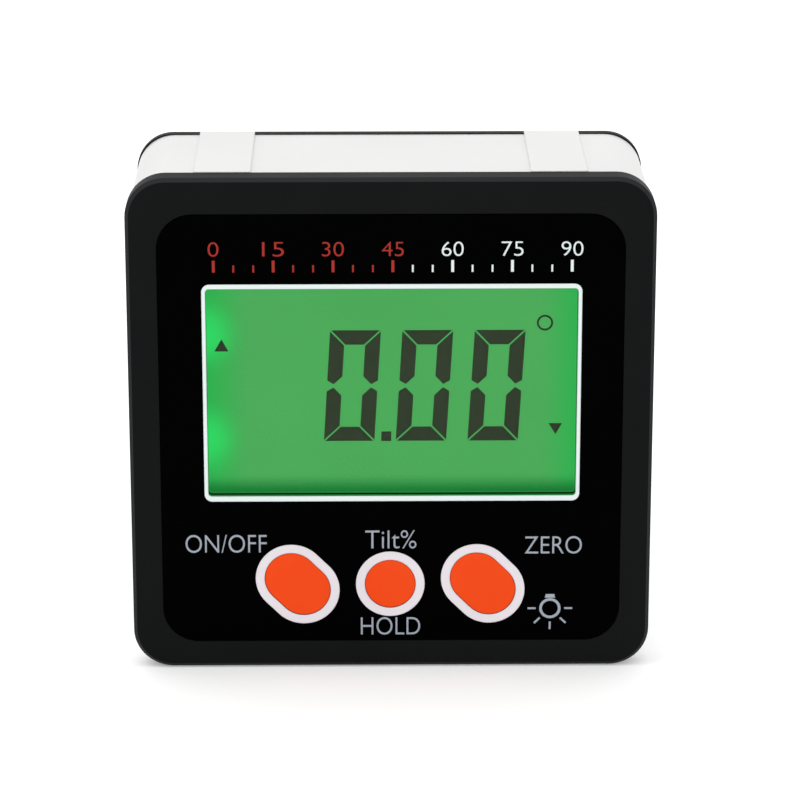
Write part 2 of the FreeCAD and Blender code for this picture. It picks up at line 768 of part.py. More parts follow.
door_groove = new_sketch(door, "door_seat")
draw_door_seal(door_groove, "gasket_clearance")
pocket(door, door_groove, "gasket_depth")
door_gasket = new_body("battery_door_gasket")
door_band = new_sketch(door_gasket, "door_seat")
draw_door_seal(door_band)
pad(door_gasket, door_band, "gasket_depth")
for radius, depth in (("door_screw_radius + screw_clearance", "door_seat"),
                      ("door_screw_head_radius + screw_head_clearance", "door_screw_seat")):
    door_holes = new_sketch(door, depth)
    for sign in ("-", ""):
        draw_circle(door_holes, "0", f"{sign}door_screw_rise", radius)
    pocket(door, door_holes, "case_depth")


def screws(name, draw_places, head_radius, radius, seat, head, length):
    """A set of equal screws that point forwards, each a head with a six-sided socket and a shank."""
    piece = new_body(name)
    for part_radius, front, run in ((head_radius, seat, head), (radius, f"{seat} - ({length})", length)):
        rings = new_sketch(piece, front)
        draw_places(rings, part_radius)
        pad(piece, rings, run)
    sockets = new_sketch(piece, f"{seat} + {head} - screw_socket_depth")
    draw_places(sockets, "screw_socket_radius", draw_hexagon)
    pocket(piece, sockets, "screw_socket_depth")


def door_screw_places(sketch, radius, draw_shape=draw_circle):
    for sign in ("-", ""):
        draw_shape(sketch, "0", f"{sign}door_screw_rise", radius)


def case_screw_places(sketch, radius, draw_shape=draw_circle):
    draw_four(sketch, "cover_screw_spread", "cover_screw_rise", radius, draw_shape)


screws("case_screws", case_screw_places, "cover_screw_head_radius", "cover_screw_radius",
       "screw_seat", "cover_screw_head", "cover_screw_length")
screws("battery_door_screws", door_screw_places, "door_screw_head_radius", "door_screw_radius",
       "door_screw_seat", "door_screw_head", "door_screw_length")
screws("board_screws", draw_board_holes, "board_screw_head_radius", "board_screw_radius",
       "board_rear", "board_screw_head", "board_screw_length")

# Display: two glasses, a light guide with side lamps, and the white holder that stands on the board

sub_part(box("lcd_front_glass", "glass_width", "glass_height", "plate_rear", "glass_middle",
             "window_shift", "window_rise"), "lcd_front_glass")
sub_part(box("lcd_rear_glass", "glass_width", "glass_height + glass_ledge", "glass_middle", "glass_rear",
             "window_shift", "window_rise - glass_ledge / 2"), "lcd_rear_glass")
sub_part(box("light_guide", "guide_width", "guide_height", "glass_rear", "glass_rear + guide_thickness",
             "window_shift", "window_rise"), "light_guide")
lamp_place = "guide_left - lamp_length / 2"
lamp_front = "glass_rear + 0.4"
lamps = []
for sign in ("+", "-"):
    lamps.append(box("Lamp", "lamp_length", "lamp_height", lamp_front, f"{lamp_front} + lamp_width",
                     lamp_place, f"lamp_rise {sign} lamp_spacing / 2"))
joined("backlight_leds", lamps)
sub_part(box("backlight_strip", "lamp_board", "lamp_board_height", "glass_rear + 0.1",
             "glass_rear + guide_thickness", "guide_left - lamp_length - lamp_board / 2", "lamp_rise"),
         "backlight_strip")
sub_part(box("zebra_strip", "zebra_width", "zebra_thickness", "glass_rear", "board_front", "0", "zebra_height"),
         "zebra_strip")

holder = new_body("lcd_holder")
tray = new_sketch(holder, "glass_middle")
tray_grow = "2 * holder_clearance"
draw_rectangle(tray, f"glass_width + {tray_grow} + 2 * holder_wall", "holder_top - (holder_bottom)",
               "window_shift", "(holder_top + holder_bottom) / 2")
pad(holder, tray, "holder_rear - (glass_middle)")
glass_seat = new_sketch(holder, "glass_middle")
draw_rectangle(glass_seat, f"glass_width + {tray_grow}", f"glass_height + glass_ledge + {tray_grow}",
               "window_shift", "window_rise - glass_ledge / 2")
pocket(holder, glass_seat, "glass_thickness")
guide_seat = new_sketch(holder, "glass_rear")
draw_rectangle(guide_seat, f"guide_width + {tray_grow}", f"guide_height + {tray_grow}", "window_shift", "window_rise")
pocket(holder, guide_seat, "guide_thickness")
lamp_seat = new_sketch(holder, "glass_rear")
lamp_room = "lamp_length + lamp_board + holder_clearance"
draw_rectangle(lamp_seat, f"{lamp_room}", f"lamp_board_height + {tray_grow}",
               f"guide_left - ({lamp_room}) / 2", "lamp_rise")
pocket(holder, lamp_seat, "guide_thickness")
zebra_slot = new_sketch(holder, "glass_rear")
draw_rectangle(zebra_slot, f"zebra_width + {tray_grow}", f"zebra_thickness + {tray_grow}", "0", "zebra_height")
pocket(holder, zebra_slot, "guide_thickness + holder_floor")


def draw_feet(sketch, radius):
    for across in ("foot_spread", "-foot_spread"):
        for up in ("foot_high", "foot_low"):
            draw_circle(sketch, across, up, radius)


for radius, length in (("foot_radius", "foot_height"), ("peg_radius", "foot_height + peg_length")):
    feet = new_sketch(holder, "holder_rear")
    draw_feet(feet, radius)
    pad(holder, feet, length)

# Main board, notched round the bezel's four posts

board = new_body("main_board")
board_sheet = new_sketch(board, "board_front")
half_width = "(inner_width / 2 - board_gap)"
half_height = "(inner_height / 2 - board_gap)"
notch_x = "(cover_screw_spread - post_radius - board_notch)"
notch_z = "(cover_screw_rise - post_radius - board_notch)"
corners = []
for sign_x, sign_z in (("", "-"), ("", ""), ("-", ""), ("-", "-")):
    turn = [(f"{sign_x}{half_width}", f"{sign_z}{notch_z}"), (f"{sign_x}{notch_x}", f"{sign_z}{notch_z}"),
            (f"{sign_x}{notch_x}", f"{sign_z}{half_height}")]
    corners += turn if sign_x == sign_z or (sign_x, sign_z) == ("", "") else turn[::-1]
draw_polygon(board_sheet, corners)
pad(board, board_sheet, "board_thickness")
for draw_places, radius in ((draw_board_holes, "board_screw_radius + screw_clearance"),
                            (draw_feet, "peg_radius + peg_clearance")):
    holes = new_sketch(board, "board_front")
    draw_places(holes, radius)
    pocket(board, holes, "board_thickness")
board_slots = new_sketch(board, "board_front")
draw_tab_slots(board_slots)
pocket(board, board_slots, "board_thickness")

# What is soldered to the board's back

sub_part(box("angle_sensor", "sensor_side", "sensor_side", "board_rear", "board_rear + sensor_height",
             "0", "-sensor_drop"), "angle_sensor")
sub_part(box("controller_chip", "chip_side", "chip_side", "board_rear", "board_rear + chip_height",
             "chip_place", "chip_rise"), "controller_chip")
sub_part(box("crystal_can", "crystal_length", "crystal_width", "board_rear", "board_rear + crystal_height",
             "crystal_place", "-crystal_drop"), "crystal_can")
capacitors = []
for column in range(3):
    for row in range(2):
        capacitors.append(box("Capacitor", "capacitor_length", "capacitor_width", "board_rear",
                              "board_rear + capacitor_height", f"capacitor_place + {column} * capacitor_pitch",
                              f"capacitor_rise + {row} * capacitor_pitch"))
joined("chip_capacitors", capacitors)

# Cells: two AAA, the upper one with its nub to the left and the lower one turned end for end

for cell_name, turned in (("battery_upper", False), ("battery_lower", True)):
    start = "compartment_width / 2 - contact_thickness"
    sign = "-" if turned else ""
    cell = new_body(cell_name, f"{start}" if turned else f"-({start})", "cell_depth", f"{sign}cell_pitch / 2")
    if turned:
        turn = Rotation(Vector(0, 0, 1), 180)
        cell.Placement = Placement(cell.Placement.Base, turn)
    profile = new_sketch(cell)
    draw_polygon(profile, (("0", "0"), ("cell_length", "0"), ("cell_length", "cell_radius"),
                           ("cell_nub_length", "cell_radius"), ("cell_nub_length", "cell_nub_radius"),
                           ("0", "cell_nub_radius")))
    solid = cell.newObject("PartDesign::Revolution", "Revolution")
    solid.Profile = profile
    solid.ReferenceAxis = (profile, ["H_Axis"])
    solid.Angle = 360
    doc.recompute()


# Contacts: flat plates at the compartment's ends, with bowed leaf springs for the cells' flat ends

def add_plate(body, height, across, up):
    plate = new_sketch(body, "compartment_front + compartment_floor")
    draw_rectangle(plate, "contact_thickness", height, across, up)
    pad(body, plate, "door_seat - cell_clearance - (compartment_front + compartment_floor)")


def add_tab(body, up):
    """The tab that runs down through the compartment's floor into the main board."""
    tab = new_sketch(body, "board_front")
    draw_rectangle(tab, "contact_thickness", "contact_tab", contact_place, up)
    pad(body, tab, "compartment_front + compartment_floor - (board_front)")


def add_bow(body, end, inward, up):
    """A leaf bowed out from its plate, level with its cell's middle and flat where the cell rests."""
    bow = new_sketch(body, "cell_depth - bow_width / 2")
    plate_face = f"{end} * (compartment_width / 2 - contact_thickness)"
    near = f"{plate_face} + {inward} * (bow_reach - bow_thickness)"
    far = f"{plate_face} + {inward} * bow_reach"
    outer_foot, inner_foot = "bow_foot / 2", "(bow_foot / 2 - 1.5 * bow_thickness)"
    outer_top, inner_top = "bow_top / 2", "(bow_top / 2 - bow_thickness / 2)"
    draw_polygon(bow, ((plate_face, f"{up} - {outer_foot}"), (far, f"{up} - {outer_top}"),
                       (far, f"{up} + {outer_top}"), (plate_face, f"{up} + {outer_foot}"),
                       (plate_face, f"{up} + {inner_foot}"), (near, f"{up} + {inner_top}"),
                       (near, f"{up} - {inner_top}"), (plate_face, f"{up} - {inner_foot}")))
    pad(body, bow, "bow_width")


positive = new_body("positive_contact")
add_plate(positive, "contact_width", contact_place, "cell_pitch / 2")
add_tab(positive, "cell_pitch / 2")
negative = new_body("negative_contact")
add_plate(negative, "contact_width", contact_place, "-cell_pitch / 2")
add_tab(negative, "-cell_pitch / 2")
add_bow(negative, "-1", "1", "-cell_pitch / 2")
bridge = new_body("bridge_contact")
add_plate(bridge, "cell_pitch + contact_width", "(compartment_width - contact_thickness) / 2", "0")
add_bow(bridge, "1", "-1", "cell_pitch / 2")

# Check every object and write each sub-part

doc.recompute()
for thing in doc.Objects:
    if "Invalid" in thing.State or "Error" in thing.State:
        raise ValueError(f"{thing.Label} did not build: {thing.State}")
for piece in sub_parts:
    if piece.Shape.isNull() or not piece.Shape.isValid():
        raise ValueError(f"{piece.Label} has no sound shape")
    piece.Shape.exportStep(f"parts/{piece.Label}.step")
print(f"{len(sub_parts)} sub-parts written")
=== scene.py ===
import bmesh
import bpy
import math
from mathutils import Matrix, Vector


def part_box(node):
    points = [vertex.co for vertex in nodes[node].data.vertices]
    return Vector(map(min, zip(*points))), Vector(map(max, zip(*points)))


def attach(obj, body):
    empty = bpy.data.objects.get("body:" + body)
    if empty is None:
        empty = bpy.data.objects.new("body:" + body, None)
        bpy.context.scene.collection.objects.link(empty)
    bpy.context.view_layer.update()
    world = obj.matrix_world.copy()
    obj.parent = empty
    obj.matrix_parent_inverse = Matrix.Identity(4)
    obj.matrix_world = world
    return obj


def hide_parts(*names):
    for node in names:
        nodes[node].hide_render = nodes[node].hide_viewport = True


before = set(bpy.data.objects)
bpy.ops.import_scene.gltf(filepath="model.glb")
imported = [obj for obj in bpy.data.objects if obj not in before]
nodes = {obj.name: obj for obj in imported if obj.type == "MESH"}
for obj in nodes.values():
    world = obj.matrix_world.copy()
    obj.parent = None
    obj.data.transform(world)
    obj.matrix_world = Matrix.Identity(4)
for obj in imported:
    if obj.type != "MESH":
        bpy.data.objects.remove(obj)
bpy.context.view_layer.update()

# Moulded black case: the bezel, the back cover and the battery door, all of one fine-grained ABS.
# The mould leaves a faint even grain. Screws from behind draw the two halves on to the frame.
# The bevelled edges lean half way between a face and a side, and carry a painted highlight a shade lighter
# than both.

GRAIN_SCALE = 5200.0
GRAIN_DEPTH = 0.00004
BLOTCH_SCALE = 90.0
ROUGHNESS_DRIFT = 0.15
EDGE_LEAN = 0.707
EDGE_SPREAD = 0.2
EDGE_HIGHLIGHT_BLACK = (0.0245, 0.025, 0.0278)
# A Mix node's colours go by their places, because their names repeat for its numbers and vectors.
COLOUR_FROM, COLOUR_TO, COLOUR_OUT = 6, 7, 2


def add(tree, kind, **inputs):
    """A new node with some of its inputs set."""
    node = tree.nodes.new(kind)
    for input_name, number in inputs.items():
        node.inputs[input_name].default_value = number
    return node


def reckon(tree, operation, *terms):
    """One step of arithmetic on numbers or other nodes' outputs."""
    node = tree.nodes.new("ShaderNodeMath")
    node.operation = operation
    for socket, term in zip(node.inputs, terms):
        if isinstance(term, (int, float)):
            socket.default_value = term
        else:
            tree.links.new(term, socket)
    return node.outputs[0]


def ramp(tree, value, low, high, start=0.0, end=1.0, easing="LINEAR"):
    """A number that goes from start to end while the value goes from low to high."""
    node = tree.nodes.new("ShaderNodeMapRange")
    node.interpolation_type = easing
    for input_name, number in (("From Min", low), ("From Max", high), ("To Min", start), ("To Max", end)):
        node.inputs[input_name].default_value = number
    tree.links.new(value, node.inputs["Value"])
    return node.outputs[0]


def colour_mix(tree, mask, first, second):
    """A colour that goes from first to second with the mask. Each is a colour or a node's output."""
    mix = tree.nodes.new("ShaderNodeMix")
    mix.data_type = "RGBA"
    tree.links.new(mask, mix.inputs[0])
    for place, colour in ((COLOUR_FROM, first), (COLOUR_TO, second)):
        if isinstance(colour, tuple):
            mix.inputs[place].default_value = (*colour, 1)
        else:
            tree.links.new(colour, mix.inputs[place])
    return mix.outputs[COLOUR_OUT]


def surface_group():
    """A shared effect: slow blotches as a mask, and fine grain on softened edges as a normal."""
    group = bpy.data.node_groups.new("fine_surface", "ShaderNodeTree")
    for input_name in ("Grain Scale", "Blotch Scale", "Grain Height", "Edge"):
        group.interface.new_socket(input_name, in_out="INPUT", socket_type="NodeSocketFloat")
    group.interface.new_socket("Mask", in_out="OUTPUT", socket_type="NodeSocketFloat")
    group.interface.new_socket("Normal", in_out="OUTPUT", socket_type="NodeSocketVector")
    start = group.nodes.new("NodeGroupInput")
    end = group.nodes.new("NodeGroupOutput")
    place = group.nodes.new("ShaderNodeTexCoord")
    blotch = add(group, "ShaderNodeTexNoise", Detail=3.0)
    grain = add(group, "ShaderNodeTexNoise", Detail=2.0)
    bevel = group.nodes.new("ShaderNodeBevel")
    bevel.samples = 6
    bump = add(group, "ShaderNodeBump", Distance=GRAIN_DEPTH)
    for texture, scale in ((blotch, "Blotch Scale"), (grain, "Grain Scale")):
        group.links.new(place.outputs["Object"], texture.inputs["Vector"])
        group.links.new(start.outputs[scale], texture.inputs["Scale"])
    group.links.new(start.outputs["Edge"], bevel.inputs["Radius"])
    group.links.new(start.outputs["Grain Height"], bump.inputs["Strength"])
    group.links.new(grain.outputs[0], bump.inputs["Height"])
    group.links.new(bevel.outputs[0], bump.inputs["Normal"])
    group.links.new(blotch.outputs[0], end.inputs["Mask"])
    group.links.new(bump.outputs[0], end.inputs["Normal"])
    return group


fine_surface = surface_group()


def new_material(name):
    """A new material, with its node tree and its shader."""
    material = bpy.data.materials.new(name)
    material.use_nodes = True
    tree = material.node_tree
    return material, tree, tree.nodes["Principled BSDF"]


def finish_material(name, dark, light, roughness, metallic=0.0, specular=0.5, grain=0.1,
                    grain_scale=GRAIN_SCALE, edge=0.00015, coat=0.0):
    """A finish whose colour and roughness drift between near values. Edge is a radius in metres."""
    material, tree, shader = new_material(name)
    effect = tree.nodes.new("ShaderNodeGroup")
    effect.name = "fine surface"
    effect.node_tree = fine_surface
    for input_name, size in (("Grain Scale", grain_scale), ("Blotch Scale", BLOTCH_SCALE),
                             ("Grain Height", grain), ("Edge", edge)):
        effect.inputs[input_name].default_value = size
    mask = effect.outputs["Mask"]
    smoothest = roughness * (1 - ROUGHNESS_DRIFT)
    roughest = roughness * (1 + ROUGHNESS_DRIFT)
    tree.links.new(colour_mix(tree, mask, dark, light), shader.inputs["Base Color"])
    tree.links.new(ramp(tree, mask, 0.0, 1.0, smoothest, roughest), shader.inputs["Roughness"])
    tree.links.new(effect.outputs["Normal"], shader.inputs["Normal"])
    shader.inputs["Metallic"].default_value = metallic
    shader.inputs["Specular IOR Level"].default_value = specular
    shader.inputs["Coat Weight"].default_value = coat
    return material


def dress(node_names, material):
    """Give carried-over pieces their finish."""
    for name in node_names:
        nodes[name].data.materials.clear()
        nodes[name].data.materials.append(material)


case_black = finish_material("case_black", (0.0056, 0.0060, 0.0062), (0.0088, 0.0092, 0.0095), 0.42,
                             specular=0.032, grain=0.35)
case_tree = case_black.node_tree
case_colour_input = case_tree.nodes["Principled BSDF"].inputs["Base Color"]
case_colour = case_colour_input.links[0].from_socket
# Painted highlight: faces that lean half way, as the bevels do, get a lighter black by their slope alone.
case_place = case_tree.nodes.new("ShaderNodeNewGeometry")
case_split = case_tree.nodes.new("ShaderNodeSeparateXYZ")
case_tree.links.new(case_place.outputs["True Normal"], case_split.inputs[0])
case_lean = reckon(case_tree, "ABSOLUTE", case_split.outputs["Y"])
edge_highlight_mask = reckon(case_tree, "COMPARE", case_lean, EDGE_LEAN, EDGE_SPREAD)
case_tree.links.new(colour_mix(case_tree, edge_highlight_mask, case_colour, EDGE_HIGHLIGHT_BLACK), case_colour_input)
dress(["front_bezel", "back_cover", "battery_door"], case_black)

# Metal frame: a die-cast aluminium ring, light and satin on all four measuring sides.
# It is clamped between the case's two halves. Its raised pads are ground last, so it carries fine
# parallel marks that run from front to back.

FRAME_GRAIN_SCALE = 2600.0
GRIND_SCALE = 3800.0
GRIND_ALONG = 0.02
GRIND_DEPTH = 0.00003
frame_light = finish_material("frame_light", (0.745, 0.745, 0.74), (0.805, 0.805, 0.80), 0.38,
                              metallic=0.55, grain=0.12, grain_scale=FRAME_GRAIN_SCALE, edge=0.00018)
grind_tree = frame_light.node_tree
frame_normal_input = grind_tree.nodes["Principled BSDF"].inputs["Normal"]
frame_normal = frame_normal_input.links[0].from_socket
grind_place = grind_tree.nodes.new("ShaderNodeTexCoord")
grind_stretch = add(grind_tree, "ShaderNodeMapping", Scale=(1.0, GRIND_ALONG, 1.0))
grind = add(grind_tree, "ShaderNodeTexNoise", Scale=GRIND_SCALE, Detail=2.0)
grind_bump = add(grind_tree, "ShaderNodeBump", Strength=0.12, Distance=GRIND_DEPTH)
grind_tree.links.new(grind_place.outputs["Object"], grind_stretch.inputs["Vector"])
grind_tree.links.new(grind_stretch.outputs[0], grind.inputs["Vector"])
grind_tree.links.new(grind.outputs[0], grind_bump.inputs["Height"])
grind_tree.links.new(frame_normal, grind_bump.inputs["Normal"])
grind_tree.links.new(grind_bump.outputs[0], frame_normal_input)
dress(["metal_frame"], frame_light)

# Base magnets: two round magnets, plated bright against rust, that hold the gauge to steel.
# Each is glued into its own bore in the frame's base.

magnet_metal = finish_material("magnet_metal", (0.5, 0.49, 0.46), (0.62, 0.61, 0.58), 0.22, metallic=1.0)
dress(["base_magnet_left", "base_magnet_right"], magnet_metal)

# Gloss panel: one stiff clear sheet printed black, so it looks deep and even. It is glued into
# the bezel's recess, and is cut out for the display's window and the keys.

panel_black = finish_material("panel_black", (0.0002, 0.0002, 0.0002), (0.0004, 0.0004, 0.0004), 0.12,
                              specular=0.008, grain=0.02, edge=0.00008)
dress(["face_panel"], panel_black)

# Window line: a white line printed on the panel round the display's opening.
# Like all the print, it is a thin flat layer of ink on the black. Places on the front are in
# millimetres: across from the middle, behind the bezel's face, and above the frame's middle.

PRINT_FRONT, PRINT_REAR = 0.088, 0.11
CORNER_STEPS = 14
mm = 0.001
face_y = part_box("front_bezel")[0].y
frame_low, frame_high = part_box("metal_frame")
middle_z = (frame_low.z + frame_high.z) / 2


def at(across, depth, rise):
    """A point from millimetres across, behind the face and above the middle."""
    return Vector((across * mm, face_y + depth * mm, middle_z + rise * mm))


def arc_loop(centres, radius, start_angle, steps):
    """A closed outline of equal arcs about centres, as across and rise pairs. One centre gives a circle."""
    turn = 360 / len(centres)
    stops = steps if len(centres) == 1 else steps + 1
    points = []
    for number, (across, rise) in enumerate(centres):
        for step in range(stops):
            angle = math.radians(start_angle + turn * (number + step / steps))
            points.append((across + radius * math.cos(angle), rise + radius * math.sin(angle)))
    return points


def rounded_loop(left, right, low, high, radius):
    """A rectangle's outline with round corners."""
    centres = [(right - radius, low + radius), (right - radius, high - radius),
               (left + radius, high - radius), (left + radius, low + radius)]
    return arc_loop(centres, radius, -90, CORNER_STEPS)


def solid_from(outlines, front, rear, inner=None):
    """A flat piece between two depths from closed outlines, or a band where an inner outline is given."""
    mesh = bmesh.new()
    for outline in outlines:
        rows = [[mesh.verts.new(at(across, depth, rise)) for across, rise in outline]
                for depth in (front, rear)]
        holes = [[mesh.verts.new(at(across, depth, rise)) for across, rise in inner or []]
                 for depth in (front, rear)]
        for number in range(len(outline)):
            after = (number + 1) % len(outline)
            mesh.faces.new((rows[0][number], rows[0][after], rows[1][after], rows[1][number]))
            if inner:
                mesh.faces.new((holes[0][after], holes[0][number], holes[1][number], holes[1][after]))
                mesh.faces.new((rows[0][after], rows[0][number], holes[0][number], holes[0][after]))
                mesh.faces.new((rows[1][number], rows[1][after], holes[1][after], holes[1][number]))
        if not inner:
            mesh.faces.new(rows[0][::-1])
            mesh.faces.new(rows[1])
    bmesh.ops.recalc_face_normals(mesh, faces=mesh.faces)
    return mesh


def finished(name, mesh, material, body):
    """Turn the mesh into a piece that rides on a body."""
    data = bpy.data.meshes.new(name)
    mesh.to_mesh(data)
    mesh.free()
    piece = bpy.data.objects.new(name, data)
    bpy.context.scene.collection.objects.link(piece)
    data.materials.append(material)
    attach(piece, body)
    return piece


def ink(name, dark, light, roughness=0.4):
    """A printing ink: even, with little gloss."""
    return finish_material(name, dark, light, roughness, specular=0.2, grain=0.05)


def printed(name, outline, ink_material, inner=None):
    """One printed shape on the panel."""
    return finished(name, solid_from([outline], PRINT_FRONT, PRINT_REAR, inner), ink_material, "housing")


ink_white = ink("ink_white", (0.78, 0.87, 0.86), (0.84, 0.92, 0.91))
line_outer = rounded_loop(left=-21.42, right=21.6, low=-8.95, high=16.95, radius=0.9)
line_inner = rounded_loop(left=-20.98, right=21.17, low=-8.31, high=16.4, radius=0.4)
printed("window_line", line_outer, ink_white, line_inner)

# Key rings: a pale ring printed on the panel round each key, just clear of its cap.
# The outer two keys are round-ended slots that slope down to the right, and the middle one is round.

KEY_RISE = -19.09
KEY_REACH = 0.72
KEY_FIRST_ANGLE = -135
KEY_STEPS = 48
RING_WIDTH = 1.06
RING_GAP = 0.03
key_middle = {"on_off": -10.83, "hold": -0.12, "zero": 10.58}
key_radius = {"on_off": 3.07, "hold": 2.92, "zero": 3.07}


def key_outline(key, growth):
    """The outline of a key's cap, grown by a distance."""
    middle = key_middle[key]
    centres = [(middle + KEY_REACH, KEY_RISE - KEY_REACH), (middle - KEY_REACH, KEY_RISE + KEY_REACH)]
    if key == "hold":
        centres = [(middle, KEY_RISE)]
    return arc_loop(centres, key_radius[key] + growth, KEY_FIRST_ANGLE, KEY_STEPS)


ink_ring = ink("ink_ring", (0.76, 0.71, 0.75), (0.90, 0.84, 0.88))
for key in key_middle:
    printed(f"{key}_ring", key_outline(key, RING_WIDTH), ink_ring, key_outline(key, RING_GAP))

# Printed words: plain sans letters in grey ink, beside the keys that they name.
# Each word is set to the width and height that the panel gives it.

LETTER_STEPS = 6
STROKE_TRIM = -0.006
WELD = 1e-8
PRINT_DEPTH = (PRINT_FRONT + PRINT_REAR) / 2


def lettering(name, words, left, right, low, high, ink_material):
    """Words as a flat piece that fills a place exactly."""
    curve = bpy.data.curves.new(name, "FONT")
    curve.body = words
    curve.extrude = (PRINT_REAR - PRINT_FRONT) / 2
    curve.resolution_u = LETTER_STEPS
    curve.offset = STROKE_TRIM
    letters = bpy.data.objects.new(name, curve)
    bpy.context.scene.collection.objects.link(letters)
    bpy.context.view_layer.update()
    data = bpy.data.meshes.new_from_object(letters.evaluated_get(bpy.context.evaluated_depsgraph_get()))
    bpy.data.objects.remove(letters)
    xs = [vertex.co.x for vertex in data.vertices]
    ys = [vertex.co.y for vertex in data.vertices]
    stretch_x = (right - left) / (max(xs) - min(xs))
    stretch_y = (high - low) / (max(ys) - min(ys))
    for vertex in data.vertices:
        across = left + (vertex.co.x - min(xs)) * stretch_x
        rise = low + (vertex.co.y - min(ys)) * stretch_y
        vertex.co = at(across, PRINT_DEPTH - vertex.co.z, rise)
    mesh = bmesh.new()
    mesh.from_mesh(data)
    bmesh.ops.remove_doubles(mesh, verts=mesh.verts, dist=WELD)
    bmesh.ops.recalc_face_normals(mesh, faces=mesh.faces)
    return finished(name, mesh, ink_material, "housing")


ink_grey = ink("ink_grey", (0.34, 0.38, 0.45), (0.42, 0.46, 0.52), roughness=0.5)
for place, words, left, right, low, high in (("on_off", "ON/OFF", -23.72, -14.35, -15.2, -13.0),
                                             ("tilt", "Tilt%", -3.0, 2.9, -14.75, -12.5),
                                             ("zero", "ZERO", 15.4, 22.0, -15.45, -13.3),
                                             ("hold", "HOLD", -3.55, 3.36, -25.4, -23.2)):
    lettering(f"caption_{place}", words, left, right, low, high, ink_grey)

# Scale: a plain scale of degrees printed along the top of the panel, red to its middle and white
# beyond. Its ticks repeat along a line, so a node tree stands them up. Every third is long, wide
# and has its figure above.

SCALE_LEFT, SCALE_RIGHT = -20.0, 20.4
SCALE_STEPS = 18
STEP_DEGREES = 5
LAST_RED = 9
LONG_EVERY = 3
TICK_FOOT = 18.35
TICK_PITCH = (SCALE_RIGHT - SCALE_LEFT) / SCALE_STEPS
SHORT_WIDTH, SHORT_HEIGHT = 0.22, 0.85
LONG_WIDTH, LONG_HEIGHT = 0.34, 1.4
FIGURE_HALF_WIDTH = 0.62
FIGURE_LOW, FIGURE_HIGH = 20.2, 21.9
print_thickness = (PRINT_REAR - PRINT_FRONT) * mm
# A Mix node's vectors go by their places too.
SIZE_FROM, SIZE_TO, SIZE_OUT = 4, 5, 1


def new_tree(name, sizes):
    """A geometry tree whose inputs are named sizes, with a material last."""
    tree = bpy.data.node_groups.new(name, "GeometryNodeTree")
    for size_name, kind in sizes:
        tree.interface.new_socket(size_name, in_out="INPUT", socket_type=f"NodeSocket{kind}")
    tree.interface.new_socket("Geometry", in_out="OUTPUT", socket_type="NodeSocketGeometry")
    return tree, tree.nodes.new("NodeGroupInput"), tree.nodes.new("NodeGroupOutput")


def unit_bar(tree, shift):
    """A bar one unit long each way, moved so that it grows from its foot."""
    bar = tree.nodes.new("GeometryNodeMeshCube")
    moved = add(tree, "GeometryNodeTransform", Translation=shift)
    tree.links.new(bar.outputs["Mesh"], moved.inputs["Geometry"])
    return moved.outputs[0]


def close_tree(tree, start, end, copies):
    """Turn the copies into one plain mesh with its ink."""
    realized = tree.nodes.new("GeometryNodeRealizeInstances")
    inked = tree.nodes.new("GeometryNodeSetMaterial")
    tree.links.new(copies, realized.inputs[0])
    tree.links.new(realized.outputs[0], inked.inputs["Geometry"])
    tree.links.new(start.outputs["Material"], inked.inputs["Material"])
    tree.links.new(inked.outputs[0], end.inputs["Geometry"])


def tick_row():
    """Ticks on a line, each as deep as the print, with every long one picked by its number."""
    sizes = (("Ticks", "Int"), ("First", "Int"), ("Long Every", "Int"), ("Start", "Vector"),
             ("Step", "Vector"), ("Short", "Vector"), ("Long", "Vector"), ("Material", "Material"))
    tree, start, end = new_tree("tick_row", sizes)
    line = tree.nodes.new("GeometryNodeMeshLine")
    number = tree.nodes.new("GeometryNodeInputIndex")
    counted = reckon(tree, "ADD", number.outputs[0], start.outputs["First"])
    left_over = reckon(tree, "MODULO", counted, start.outputs["Long Every"])
    short = reckon(tree, "GREATER_THAN", left_over, 0.5)
    size = tree.nodes.new("ShaderNodeMix")
    size.data_type = "VECTOR"
    stand = tree.nodes.new("GeometryNodeInstanceOnPoints")
    tree.links.new(start.outputs["Ticks"], line.inputs["Count"])
    tree.links.new(start.outputs["Start"], line.inputs["Start Location"])
    tree.links.new(start.outputs["Step"], line.inputs["Offset"])
    tree.links.new(short, size.inputs[0])
    tree.links.new(start.outputs["Long"], size.inputs[SIZE_FROM])
    tree.links.new(start.outputs["Short"], size.inputs[SIZE_TO])
    tree.links.new(line.outputs[0], stand.inputs["Points"])
    tree.links.new(unit_bar(tree, (0, 0, 0.5)), stand.inputs["Instance"])
    tree.links.new(size.outputs[SIZE_OUT], stand.inputs["Scale"])
    close_tree(tree, start, end, stand.outputs[0])
    return tree


def grown(name, tree, sizes, body):
    """A plain piece from a node tree, with each input set by its own identifier."""
    piece = bpy.data.objects.new(name, bpy.data.meshes.new(name))
    modifier = piece.modifiers.new("pattern", "NODES")
    modifier.node_group = tree
    for item in tree.interface.items_tree:
        if item.in_out == "INPUT":
            modifier[item.identifier] = sizes[item.name]
    bpy.context.scene.collection.objects.link(piece)
    bpy.context.view_layer.update()
    evaluated = piece.evaluated_get(bpy.context.evaluated_depsgraph_get())
    plain = bpy.data.meshes.new_from_object(evaluated)
    piece.modifiers.remove(modifier)
    piece.data = plain
    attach(piece, body)
    return piece


